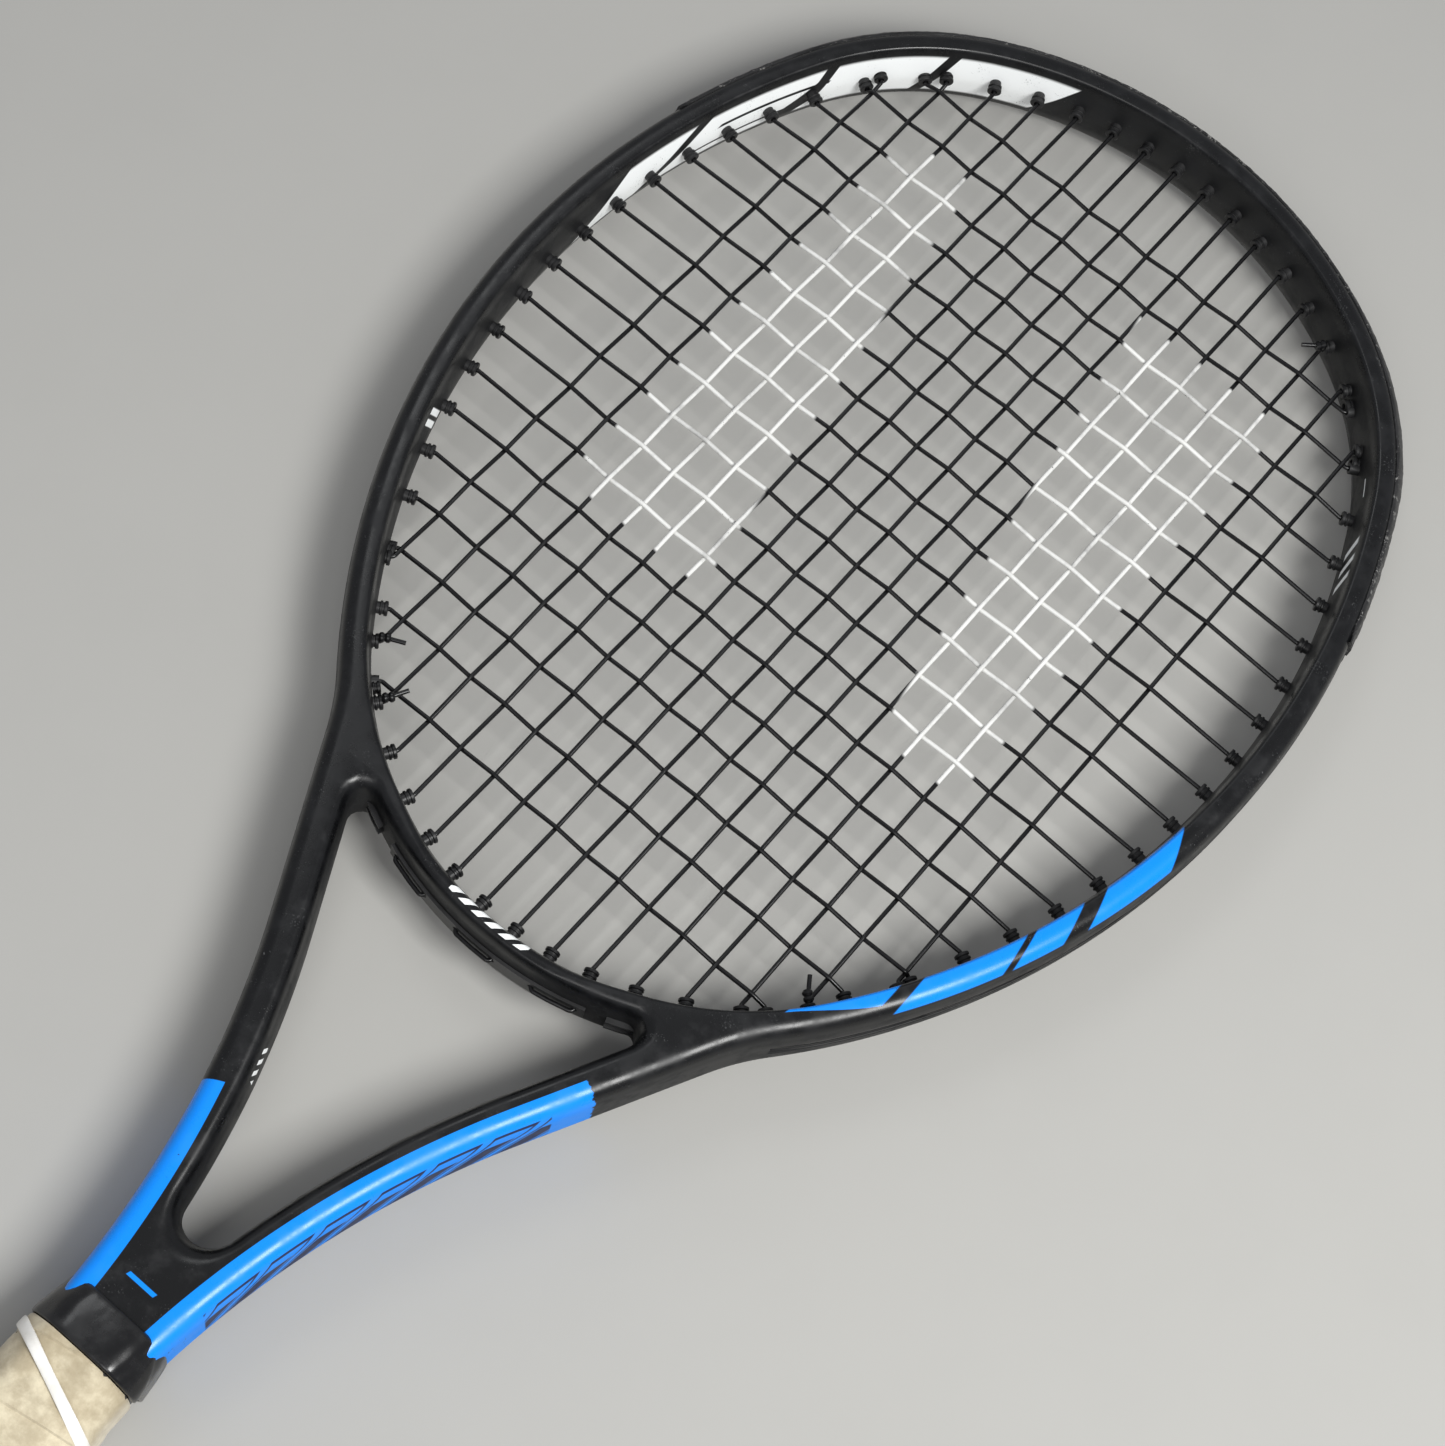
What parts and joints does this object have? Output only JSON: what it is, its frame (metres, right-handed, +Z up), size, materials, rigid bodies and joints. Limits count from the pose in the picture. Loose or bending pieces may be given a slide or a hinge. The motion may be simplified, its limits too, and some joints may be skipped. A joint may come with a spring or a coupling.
{
  "type": "tennis racket",
  "caption": "Strung tennis racket with an oval head, open V-shaped throat, wrapped octagonal handle, rubber collar and flared butt cap.",
  "frame": {"origin": "under the middle of the racket's length, at the lowest point of the butt cap, with the string plane level above it", "axes": "+Y along the handle towards the tip of the head, +X across the head, +Z up through the string plane"},
  "size_m": [0.2688, 0.6858, 0.0368],
  "materials": {
    "graphite": "satin painted composite",
    "grommet": "moulded nylon",
    "string": "polyester monofilament",
    "cap_plastic": "moulded",
    "staple_wire": "drawn wire",
    "pallet_foam": "moulded hard foam",
    "base_wrap": "cushioned synthetic wrap",
    "overwrap": "thin felt-backed wrap, stained",
    "tape": "adhesive tape",
    "collar_rubber": "glossy",
    "band_rubber": "matte elastic"
  },
  "bodies": {
    "racket": {"frame": "graphite", "throat_bridge": "graphite", "bumper_guard": "grommet", "left_grommet_strip": "grommet", "right_grommet_strip": "grommet", "throat_grommet_strip": "grommet", "main_string": "string", "cross_string": "string", "main_knot_left": "string", "main_knot_right": "string", "cross_knot_start": "string", "cross_knot_end": "string", "butt_cap": "cap_plastic", "butt_cap_staples": "staple_wire", "upper_pallet": "pallet_foam", "lower_pallet": "pallet_foam", "base_grip": "base_wrap", "overgrip": "overwrap", "finishing_tape": "tape"},
    "collar": {"rubber_collar": "collar_rubber"},
    "band": {"rubber_band": "band_rubber"},
    "door": {"butt_cap_door": "cap_plastic"}
  },
  "joints": [
    {"name": "collar_slide", "type": "slide", "parent": "racket", "child": "collar", "axis": [0, 1, 0], "range_m": [0, 0.003]},
    {"name": "band_slide", "type": "slide", "parent": "racket", "child": "band", "axis": [0, -1, 0], "range_m": [0, 0.135]},
    {"name": "door_pull", "type": "slide", "parent": "racket", "child": "door", "axis": [0, -1, 0], "range_m": [0, 0.012]}
  ]
}
